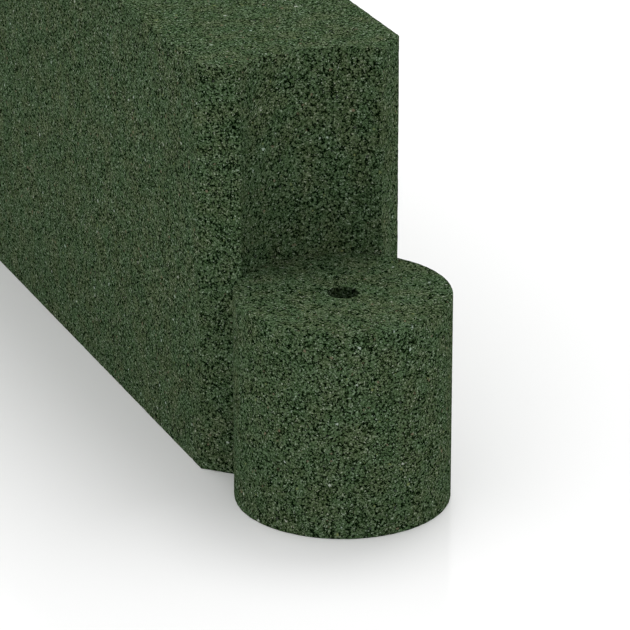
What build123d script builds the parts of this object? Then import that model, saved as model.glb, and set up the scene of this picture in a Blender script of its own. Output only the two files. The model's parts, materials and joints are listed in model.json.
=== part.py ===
from build123d import *

import math
import os

# A pressed rubber-granulate block with a half-height round step nested in its end.
# Millimetres, +Z up. The origin is the middle of the block's footprint on the ground,
# +Y runs along the block, and the round step stands at the -Y end.

# The long block
block_length = 1000.0  # over the upright arrises beside the scallops
block_width = 200.0
block_height = 400.0
corner_chamfer = 30.0  # leg of the 45 degree chamfer on each upright corner

# The round step
step_diameter = 200.0
step_height = 200.0
step_bore_diameter = 28.0  # takes a ground pin or a lifting bar

# Where they meet, and their upper edges
nest_clearance = 0.5  # radial gap between the round step and the scallop it stands in
top_arris = 1.0  # small bevel left round each upper edge

# Each scallop runs straight into the chamfers, with no flat left between them, and is
# centred on the round step. Its radius and these arrises fix how far out that centre is.
end_y = block_length / 2
side_x = block_width / 2
arris_x = side_x - corner_chamfer
scallop_radius = step_diameter / 2 + nest_clearance
scallop_reach = math.sqrt(scallop_radius**2 - arris_x**2)
scallop_depth = scallop_radius - scallop_reach
step_plane = Plane((0, -end_y - scallop_reach, 0))

os.makedirs("parts", exist_ok=True)

# Long block: one solid pressing, the same at both ends.
with BuildPart() as long_block:
    with BuildSketch(Plane.XY):
        with BuildLine():
            far_scallop = ThreePointArc(
                (-arris_x, end_y), (0, end_y - scallop_depth), (arris_x, end_y)
            )
            side = Polyline(
                (arris_x, end_y),
                (side_x, end_y - corner_chamfer),
                (side_x, corner_chamfer - end_y),
                (arris_x, -end_y),
            )
            mirror(far_scallop, about=Plane.XZ)
            mirror(side, about=Plane.YZ)
        make_face()
    extrude(amount=block_height)
    chamfer(faces().sort_by(Axis.Z)[-1].edges(), top_arris)

# Round step: a solid drum with one hole down its middle.
with BuildPart() as round_step:
    with BuildSketch(step_plane):
        Circle(step_diameter / 2)
    extrude(amount=step_height)
    chamfer(faces().sort_by(Axis.Z)[-1].edges(), top_arris)
    with Locations(step_plane.offset(step_height)):
        Hole(step_bore_diameter / 2)

long_block.part.label = "long_block"
export_step(long_block.part, "parts/long_block.step")

round_step.part.label = "round_step"
export_step(round_step.part, "parts/round_step.step")
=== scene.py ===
import json
import math

import bpy
import numpy as np
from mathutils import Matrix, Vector, noise


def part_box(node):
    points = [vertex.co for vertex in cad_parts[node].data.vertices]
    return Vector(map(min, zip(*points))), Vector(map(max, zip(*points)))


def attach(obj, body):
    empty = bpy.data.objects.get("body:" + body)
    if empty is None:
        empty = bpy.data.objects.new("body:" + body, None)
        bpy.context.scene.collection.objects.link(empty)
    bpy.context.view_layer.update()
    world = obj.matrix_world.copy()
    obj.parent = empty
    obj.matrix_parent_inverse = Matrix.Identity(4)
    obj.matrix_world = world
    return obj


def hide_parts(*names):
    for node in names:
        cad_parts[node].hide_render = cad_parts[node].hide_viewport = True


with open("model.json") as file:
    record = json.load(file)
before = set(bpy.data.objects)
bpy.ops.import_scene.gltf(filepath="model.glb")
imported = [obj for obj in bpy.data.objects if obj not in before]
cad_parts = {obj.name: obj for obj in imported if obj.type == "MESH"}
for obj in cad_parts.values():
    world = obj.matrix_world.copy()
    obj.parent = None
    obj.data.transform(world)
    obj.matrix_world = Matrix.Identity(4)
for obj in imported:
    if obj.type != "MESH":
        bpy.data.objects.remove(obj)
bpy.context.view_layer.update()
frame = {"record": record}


# ---------------------------------------------------------------------------
# Camera. A long lens looks slightly down on the block's near end from its left.
# ---------------------------------------------------------------------------

block_low, block_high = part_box("long_block")
step_low, step_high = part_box("round_step")

lens_mm = 246.5
sensor_mm = 36.0
view_azimuth = math.radians(-22.915)
view_elevation = math.radians(22.231)
view_distance = 3.9868
view_target = Vector((0.0031, block_low.y, 0.1501))


def towards(azimuth, elevation):
    """The way from the target out to something that stands round it, -Y being azimuth 0."""
    return Vector((
        math.sin(azimuth) * math.cos(elevation),
        -math.cos(azimuth) * math.cos(elevation),
        math.sin(elevation),
    ))


camera_data = bpy.data.cameras.new("studio_camera")
camera_data.lens = lens_mm
camera_data.sensor_width = sensor_mm
camera = bpy.data.objects.new("studio_camera", camera_data)
to_camera = towards(view_azimuth, view_elevation)
camera.location = view_target + to_camera * view_distance
camera.rotation_euler = (-to_camera).to_track_quat("-Z", "Y").to_euler()
bpy.context.scene.collection.objects.link(camera)
bpy.context.scene.camera = camera


# ---------------------------------------------------------------------------
# Granulate. Recycled rubber ground to a few millimetres, dyed green, bound with
# polyurethane and pressed in a mould. Gaps stay open between the grains at the skin.
# ---------------------------------------------------------------------------

grain_size = 0.0016  # lumps are half as big again, and fine grains two thirds of it
relief_depth = 0.0005  # from the floor of a gap to the face of a grain
relief_strength = 0.9
open_face = 1.08  # brightness of the dye on the faces
bore_painted_shade = 0.59  # darker in the bore, as painted shade down the hole
skin_dip = 0.0002  # how far the skin dips between the fullest places
skin_dip_run = 0.007  # from one dip to the next
arris_wear = 0.0002  # least that is lost from every arris
arris_crumble = 0.0005  # most that crumbles off beyond that
arris_crumble_run = 0.009
arris_angle = math.radians(35.0)  # an edge that turns by more than this is an arris


def press_skin(piece):
    """Sinks each point of the piece inwards to the uneven skin that the mould leaves."""
    mesh = piece.data
    on_arris = np.zeros(len(mesh.vertices), bool)
    for edge in mesh.edges:
        if edge.use_edge_sharp:
            on_arris[list(edge.vertices)] = True
    inwards = [-v.normal for v in mesh.vertices]
    for vertex, way in zip(mesh.vertices, inwards):
        place = vertex.co.copy()
        depth = skin_dip * (0.5 + 0.5 * noise.noise(place / skin_dip_run))
        if on_arris[vertex.index]:
            depth += arris_wear + arris_crumble * abs(noise.noise(place / arris_crumble_run))
        vertex.co = place + way * depth
    mesh.update()


def make_pressing(name, points, faces, sheet):
    """A piece from its points and faces. The sheet is where each face corner lies on a flat
    sheet that the whole skin is unrolled on, between 0 and 1 both ways."""
    mesh = bpy.data.meshes.new(name)
    mesh.from_pydata(points, [], faces)
    unrolled = mesh.uv_layers.new(name="OFBake")
    unrolled.data.foreach_set("uv", np.array(sheet, np.float32).ravel())
    mesh.polygons.foreach_set("use_smooth", [True] * len(mesh.polygons))
    mesh.set_sharp_from_angle(angle=arris_angle)
    piece = bpy.data.objects.new(name, mesh)
    bpy.context.scene.collection.objects.link(piece)
    press_skin(piece)
    return piece


def add_node(tree, kind, settings=None, **values):
    """A node of the kind, with settings on the node itself and values on its inputs."""
    node = tree.nodes.new("ShaderNode" + kind)
    for setting, value in (settings or {}).items():
        setattr(node, setting, value)
    for socket, value in values.items():
        key = int(socket[1:]) if socket[1:].isdigit() else socket.replace("_", " ")
        if isinstance(value, bpy.types.NodeSocket):
            tree.links.new(value, node.inputs[key])
        else:
            node.inputs[key].default_value = value
    return node


def calculate(tree, operation, *values):
    """The result of one step of arithmetic on the values."""
    inputs = {f"_{n}": value for n, value in enumerate(values)}
    return add_node(tree, "Math", {"operation": operation}, **inputs).outputs[0]


def add_ramp(tree, factor, stops, interpolation="LINEAR"):
    """The colour that the factor stands for on a scale of stops."""
    ramp = add_node(tree, "ValToRGB", _0=factor)
    ramp.color_ramp.interpolation = interpolation
    elements = ramp.color_ramp.elements
    while len(elements) < len(stops):
        elements.new(0.5)
    for element, (position, colour) in zip(elements, stops):
        element.position = position
        element.color = (*colour, 1.0)
    return ramp.outputs["Color"]


def granulate_group():
    """Colour, roughness and relief of the grains at a place in the block."""
    group = bpy.data.node_groups.new("rubber_granules", "ShaderNodeTree")
    face = group.interface
    face.new_socket("Grain size", in_out="INPUT", socket_type="NodeSocketFloat")
    face.new_socket("Brightness", in_out="INPUT", socket_type="NodeSocketFloat")
    face.new_socket("Colour", in_out="OUTPUT", socket_type="NodeSocketColor")
    face.new_socket("Roughness", in_out="OUTPUT", socket_type="NodeSocketFloat")
    face.new_socket("Height", in_out="OUTPUT", socket_type="NodeSocketFloat")
    inputs = group.nodes.new("NodeGroupInput")
    outputs = group.nodes.new("NodeGroupOutput")

    # Places in grains, pushed about so that the grains have torn outlines.
    pushes_per_grain = 1.3
    push_reach = (0.6, 0.6, 0.6)
    place = add_node(group, "TexCoord").outputs["Object"]
    fineness = calculate(group, "DIVIDE", 1.0, inputs.outputs["Grain size"])
    in_grains = add_node(group, "VectorMath", {"operation": "SCALE"}, _0=place, Scale=fineness)
    in_grains = in_grains.outputs[0]
    push = add_node(group, "TexNoise", Vector=in_grains, Scale=pushes_per_grain, Detail=2.0)
    torn = add_node(
        group, "VectorMath", {"operation": "MULTIPLY_ADD"},
        _0=push.outputs["Color"], _1=push_reach, _2=in_grains)
    torn = torn.outputs[0]

    # Most lumps of rubber stay whole. The others are ground down to finer grains.
    lumps_per_grain = 0.66
    fine_per_grain = 1.5
    whole_lumps = 0.65
    lumps = add_node(group, "TexVoronoi", Vector=torn, Scale=lumps_per_grain)
    lump_lots = add_node(group, "SeparateColor", _0=lumps.outputs["Color"])
    is_whole = calculate(group, "LESS_THAN", lump_lots.outputs["Green"], whole_lumps)
    fine = add_node(group, "TexVoronoi", Vector=torn, Scale=fine_per_grain)

    # A whole lump has torn facets, so it has mostly the fine grains' shades too.
    own_tone = 0.15  # share of the shade that a whole lump has to itself
    lump_tone = calculate(group, "MULTIPLY", is_whole, own_tone)
    lots = add_node(
        group, "Mix", {"data_type": "RGBA"},
        Factor=lump_tone, A=fine.outputs["Color"], B=lumps.outputs["Color"])
    lots = add_node(group, "SeparateColor", _0=lots.outputs["Result"])

    # Each grain has its own shade of green; the palest greens are painted highlights on bright
    # facets. A few lumps come from other rubber, and the palest of those are painted glints.
    greens_and_facet_highlights = add_ramp(group, lots.outputs["Red"], (
        (0.00, (0.019, 0.038, 0.012)),
        (0.50, (0.056, 0.089, 0.041)),
        (0.86, (0.109, 0.150, 0.088)),
        (1.00, (0.290, 0.340, 0.260)),
    ))
    strays_and_glints = add_ramp(group, lump_lots.outputs["Red"], (
        (0.00, (0.115, 0.106, 0.066)),
        (0.40, (0.112, 0.145, 0.060)),
        (0.65, (0.035, 0.044, 0.032)),
        (0.84, (0.270, 0.315, 0.260)),
    ), "CONSTANT")
    stray_and_glint_share = 0.012
    in_strays_and_glints = calculate(group, "LESS_THAN", lump_lots.outputs["Blue"], stray_and_glint_share)
    dyed_with_painted_highlights = add_node(group, "Mix", {"data_type": "RGBA"}, Factor=in_strays_and_glints, A=greens_and_facet_highlights, B=strays_and_glints)

    # The dye takes unevenly over a few centimetres, browner here and bluer there.
    clouds_per_grain = 0.075
    clouds = add_node(group, "TexNoise", Vector=in_grains, Scale=clouds_per_grain, Detail=2.0)
    tints = add_ramp(group, clouds.outputs[0], (
        (0.36, (1.065, 0.990, 0.975)),
        (0.50, (0.995, 1.000, 0.995)),
        (0.64, (0.925, 1.000, 0.975)),
    ))
    tinted = add_node(
        group, "VectorMath", {"operation": "MULTIPLY"}, _0=dyed_with_painted_highlights.outputs["Result"], _1=tints)

    # Gaps run round the lumps and between fine grains, pinched shut in places. Both are
    # measured in grains, from the middle of the gap out to where the face is whole.
    gap_reach = 0.12
    pinches_per_grain = 0.7
    pinch_low, pinch_high = 0.35, 0.65  # where most of the noise lies
    pinch_reach = 0.10
    far_off = 10.0  # puts the fine gaps out of reach in a whole lump
    lump_edges = add_node(
        group, "TexVoronoi", {"feature": "DISTANCE_TO_EDGE"}, Vector=torn, Scale=lumps_per_grain)
    fine_edges = add_node(
        group, "TexVoronoi", {"feature": "DISTANCE_TO_EDGE"}, Vector=torn, Scale=fine_per_grain)
    from_lump_edge = calculate(group, "DIVIDE", lump_edges.outputs["Distance"], lumps_per_grain)
    from_fine_edge = calculate(group, "DIVIDE", fine_edges.outputs["Distance"], fine_per_grain)
    from_fine_edge = calculate(group, "MULTIPLY_ADD", is_whole, far_off, from_fine_edge)
    from_edge = calculate(group, "MINIMUM", from_fine_edge, from_lump_edge)
    pinch = add_node(group, "TexNoise", Vector=in_grains, Scale=pinches_per_grain, Detail=1.0)
    pinched = add_node(
        group, "MapRange", Value=pinch.outputs[0], From_Min=pinch_low, From_Max=pinch_high,
        To_Min=-pinch_reach, To_Max=pinch_reach)
    into_grain = calculate(group, "ADD", from_edge, pinched.outputs["Result"])
    closed = add_node(
        group, "MapRange", {"interpolation_type": "SMOOTHSTEP"},
        Value=into_grain, From_Min=0.0, From_Max=gap_reach)

    # Some crumbs are missing and some have sunk, mostly from among the fine grains.
    crumbs_per_grain = 1.7
    missing_share = 0.04
    sunken_share = 0.20
    lump_hold = 0.15  # so much more firmly a whole lump holds its crumbs
    crumbs = add_node(group, "TexVoronoi", Vector=torn, Scale=crumbs_per_grain)
    crumb_lots = add_node(group, "SeparateColor", _0=crumbs.outputs["Color"])
    held = calculate(group, "MULTIPLY_ADD", is_whole, lump_hold, crumb_lots.outputs["Green"])
    kept = add_node(
        group, "MapRange", {"interpolation_type": "SMOOTHSTEP"},
        Value=held, From_Min=missing_share, From_Max=sunken_share)
    full = calculate(group, "MULTIPLY", closed.outputs["Result"], kept.outputs["Result"])

    # Painted shade: gaps and the pits of missing or sunken crumbs are darkened in the colour.
    # Light in a gap comes back off green rubber, so the painted shade is a deeper green than a
    # face.
    shade = add_ramp(group, full, (
        (0.00, (0.000, 0.022, 0.000)),
        (0.25, (0.175, 0.285, 0.143)),
        (0.60, (0.630, 0.693, 0.605)),
        (1.00, (1.100, 1.100, 1.100)),
    ))
    shaded = add_node(
        group, "VectorMath", {"operation": "MULTIPLY"}, _0=tinted.outputs[0], _1=shade)
    colour = add_node(
        group, "VectorMath", {"operation": "SCALE"},
        _0=shaded.outputs[0], Scale=inputs.outputs["Brightness"])

    smoothest = 0.6
    roughest = 0.95
    lot_relief = 0.5
    roughness = add_node(
        group, "MapRange", Value=lots.outputs["Blue"], To_Min=smoothest, To_Max=roughest)
    height = calculate(group, "MULTIPLY_ADD", lots.outputs["Blue"], lot_relief, full)
    group.links.new(colour.outputs[0], outputs.inputs["Colour"])
    group.links.new(roughness.outputs["Result"], outputs.inputs["Roughness"])
    group.links.new(height, outputs.inputs["Height"])
    return group


granules = granulate_group()


def granulate_material(name, brightness):
    material = bpy.data.materials.new(name)
    material.use_nodes = True
    tree = material.node_tree
    shader = tree.nodes["Principled BSDF"]
    grains = add_node(
        tree, "Group", {"node_tree": granules}, Grain_size=grain_size, Brightness=brightness)
    relief = add_node(
        tree, "Bump",
        Height=grains.outputs["Height"], Strength=relief_strength, Distance=relief_depth)
    tree.links.new(grains.outputs["Colour"], shader.inputs["Base Color"])
    tree.links.new(grains.outputs["Roughness"], shader.inputs["Roughness"])
    tree.links.new(relief.outputs["Normal"], shader.inputs["Normal"])
    shader.inputs["Specular IOR Level"].default_value = 0.0
    return material


# ---------------------------------------------------------------------------
# Long block. One solid pressing, about seventy kilograms. Its upright corners are
# chamfered, and a scallop that takes the round step runs down each end.
# ---------------------------------------------------------------------------

block_pitch = 0.004  # between points of the skin
nest_clearance = 0.0005

half_width = (block_high.x - block_low.x) / 2
block_length = block_high.y - block_low.y
block_height = block_high.z - block_low.z
step_radius = (step_high.x - step_low.x) / 2
scallop_radius = step_radius + nest_clearance
scallop_reach = block_low.y - (step_low.y + step_radius)
arris_x = math.sqrt(scallop_radius**2 - scallop_reach**2)


def spaces(length, pitch):
    """How many even spaces near the pitch the length is divided into."""
    return max(2, round(length / pitch))


def end_outline():
    """Points across the end of the block from side to side: x, and how far in from the end."""
    chamfer_leg = half_width - arris_x
    chamfer_spaces = spaces(chamfer_leg * math.sqrt(2.0), block_pitch)
    half_angle = math.asin(arris_x / scallop_radius)
    scallop_spaces = spaces(2 * half_angle * scallop_radius, block_pitch)
    outline = []
    for i in range(chamfer_spaces):
        run = chamfer_leg * i / chamfer_spaces
        outline.append((run - half_width, chamfer_leg - run))
    for i in range(scallop_spaces):
        angle = half_angle * (2 * i / scallop_spaces - 1)
        inset = scallop_radius * math.cos(angle) - scallop_reach
        outline.append((scallop_radius * math.sin(angle), inset))
    for i in range(chamfer_spaces + 1):
        run = chamfer_leg * i / chamfer_spaces
        outline.append((arris_x + run, run))
    return outline


# The block's skin unrolled on one sheet, in metres: its length lies across the sheet.
sheet_gap = 0.005
block_sheet = 1.25
bottom_at = (0.0, 0.0)
top_at = (0.0, 2 * half_width + sheet_gap)
side_at = ((0.0, 4 * half_width + 2 * sheet_gap),
           (0.0, 4 * half_width + block_height + 3 * sheet_gap))
end_at = ((block_length + sheet_gap, 0.0), (block_length + sheet_gap, block_height + sheet_gap))


def block_skin():
    """The walls first, as a grid round the block, then its underside and its top."""
    outline = end_outline()
    last_column = len(outline) - 1
    last_row = spaces(block_length, block_pitch)
    last_level = spaces(block_height, block_pitch)

    def plan(column, row):
        x, inset = outline[column]
        return x, block_low.y + inset + (block_length - 2 * inset) * row / last_row

    # Round the walls: near end, right side, far end, left side.
    ring = [(i, 0) for i in range(last_column)]
    ring += [(last_column, j) for j in range(last_row)]
    ring += [(i, last_row) for i in range(last_column, 0, -1)]
    ring += [(0, j) for j in range(last_row, 0, -1)]
    turns = {0: end_at[0], last_column: side_at[0],
             last_column + last_row: end_at[1], 2 * last_column + last_row: side_at[1]}
    around = len(ring)
    points = []
    number = {}
    faces = []
    sheet = []
    for level in range(last_level + 1):
        z = block_low.z + block_height * level / last_level
        for column, row in ring:
            number[column, row, level] = len(points)
            points.append((*plan(column, row), z))
    for n in range(around):
        after = (n + 1) % around
        if n in turns:
            corner = turns[n]
            run = 0.0
        next_run = run + math.dist(plan(*ring[n]), plan(*ring[after]))
        for level in range(last_level):
            low = level * around
            high = low + around
            faces.append((low + n, low + after, high + after, high + n))
            rise = block_height * level / last_level
            next_rise = block_height * (level + 1) / last_level
            for u, v in ((run, rise), (next_run, rise), (next_run, next_rise), (run, next_rise)):
                sheet.append(((corner[0] + u) / block_sheet, (corner[1] + v) / block_sheet))
        run = next_run
    for level, z, corner in ((0, block_low.z, bottom_at), (last_level, block_high.z, top_at)):
        for column in range(last_column + 1):
            for row in range(last_row + 1):
                if (column, row, level) not in number:
                    number[column, row, level] = len(points)
                    points.append((*plan(column, row), z))
        for column in range(last_column):
            for row in range(last_row):
                corners = [(column, row), (column + 1, row),
                           (column + 1, row + 1), (column, row + 1)]
                if level == 0:
                    corners.reverse()
                faces.append([number[i, j, level] for i, j in corners])
                for i, j in corners:
                    x, y = plan(i, j)
                    sheet.append(((corner[0] + y - block_low.y) / block_sheet,
                                  (corner[1] + x + half_width) / block_sheet))
    return points, faces, sheet


block = make_pressing("block_pressing", *block_skin())
block.data.materials.append(granulate_material("green_granulate_block", open_face))
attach(block, "block")
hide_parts("long_block")


# ---------------------------------------------------------------------------
# Round step. A drum of the same granulate, pressed solid with one hole down its
# middle. It stands loose on the ground in the scallop.
# ---------------------------------------------------------------------------

bore_mount = [m for m in frame["record"]["mounts"] if m["name"] == "step_bore"][0]
bore_radius = bore_mount["dims"]["r_mm"] / 1000
step_height = step_high.z - step_low.z
step_turns = 350  # spaces between points all round
wall_spaces = 130  # up the wall
tread_spaces = 56  # from the wall in to the bore
bore_spaces = 40  # down the bore

# The step's skin unrolled on one sheet, in metres: the wall lies in two halves.
step_sheet = 0.525
wall_at = ((0.0, 0.0), (0.0, step_height + sheet_gap))
tread_at = (math.pi * step_radius + sheet_gap, 0.0)
underside_at = (tread_at[0], 2 * step_radius + sheet_gap)
bore_at = (0.0, 2 * (step_height + sheet_gap))


def step_skin():
    """The skin goes up the wall, in over the tread, down the bore and out underneath."""
    stages = ((wall_spaces, step_radius, 0.0), (tread_spaces, step_radius, step_height),
              (bore_spaces, bore_radius, step_height), (tread_spaces, bore_radius, 0.0))
    section = []
    stage_of = []
    for stage, (count, radius, z) in enumerate(stages):
        next_radius, next_z = stages[(stage + 1) % len(stages)][1:]
        for n in range(count):
            share = n / count
            section.append((radius + (next_radius - radius) * share, z + (next_z - z) * share))
            stage_of.append(stage)
    size = len(section)
    centre_y = step_low.y + step_radius
    wall, tread, bore, underside = range(len(stages))
    level_at = {tread: tread_at, underside: underside_at}

    def unroll(stage, turn, radius, z, half):
        angle = 2 * math.pi * turn / step_turns
        if stage == wall:
            corner = wall_at[half]
            u, v = angle * step_radius - half * math.pi * step_radius, z
        elif stage == bore:
            corner = bore_at
            u, v = z, angle * bore_radius
        else:
            corner = level_at[stage]
            u, v = step_radius + radius * math.cos(angle), step_radius + radius * math.sin(angle)
        return (corner[0] + u) / step_sheet, (corner[1] + v) / step_sheet

    points = []
    for turn in range(step_turns):
        angle = 2 * math.pi * turn / step_turns
        for radius, z in section:
            x, y = radius * math.cos(angle), centre_y + radius * math.sin(angle)
            points.append((x, y, step_low.z + z))
    faces = []
    sheet = []
    for turn in range(step_turns):
        half = 0 if turn < step_turns // 2 else 1
        for n in range(size):
            up = (n + 1) % size
            corners = ((turn, n), (turn + 1, n), (turn + 1, up), (turn, up))
            faces.append([(t % step_turns) * size + m for t, m in corners])
            for t, m in corners:
                sheet.append(unroll(stage_of[n], t, *section[m], half))
    return points, faces, sheet


step = make_pressing("step_pressing", *step_skin())
step.data.materials.append(granulate_material("green_granulate_step", open_face))
# The bore's own material is darker: painted shade down the hole.
step.data.materials.append(granulate_material("painted_shade_granulate_bore", bore_painted_shade))
bore_first = wall_spaces + tread_spaces
bore_band = range(bore_first, bore_first + bore_spaces)
faces_per_turn = bore_first + bore_spaces + tread_spaces
for polygon in step.data.polygons:
    polygon.material_index = int(polygon.index % faces_per_turn in bore_band)
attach(step, "step")
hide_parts("round_step")


# ---------------------------------------------------------------------------
# Studio. A plain white floor under an even white sky, with one broad soft lamp high
# up behind the block's right side.
# ---------------------------------------------------------------------------

floor_half = 30.0
floor_white = (0.92, 0.92, 0.92, 1.0)
floor_roughness = 0.12
floor_ior = 1.25
sky_white = (1.0, 1.0, 1.0, 1.0)
sky_strength = 1.04
lamp_width = 1.8
lamp_power = 38.5
lamp_distance = 4.0
lamp_azimuth = math.radians(135.0)
lamp_elevation = math.radians(68.0)
lamp_target = Vector((0.0, block_low.y, 0.2))
to_lamp = towards(lamp_azimuth, lamp_elevation)

floor_mesh = bpy.data.meshes.new("studio_floor")
floor_mesh.from_pydata(
    [(-floor_half, -floor_half, 0.0), (floor_half, -floor_half, 0.0),
     (floor_half, floor_half, 0.0), (-floor_half, floor_half, 0.0)],
    [], [(0, 1, 2, 3)])
floor = bpy.data.objects.new("studio_floor", floor_mesh)
bpy.context.scene.collection.objects.link(floor)
floor_material = bpy.data.materials.new("white_floor")
floor_material.use_nodes = True
floor_shader = floor_material.node_tree.nodes["Principled BSDF"]
floor_shader.inputs["Base Color"].default_value = floor_white
floor_shader.inputs["Roughness"].default_value = floor_roughness
floor_shader.inputs["IOR"].default_value = floor_ior
floor_mesh.materials.append(floor_material)

sky = bpy.data.worlds.new("studio_sky")
sky.use_nodes = True
sky_light = sky.node_tree.nodes["Background"]
sky_light.inputs["Color"].default_value = sky_white
sky_light.inputs["Strength"].default_value = sky_strength
bpy.context.scene.world = sky
bpy.context.scene.view_settings.view_transform = "Standard"

lamp_data = bpy.data.lights.new("soft_lamp", "AREA")
lamp_data.shape = "DISK"
lamp_data.size = lamp_width
lamp_data.energy = lamp_power
lamp = bpy.data.objects.new("soft_lamp", lamp_data)
lamp.location = lamp_target + to_lamp * lamp_distance
lamp.rotation_euler = to_lamp.to_track_quat("Z", "Y").to_euler()
bpy.context.scene.collection.objects.link(lamp)
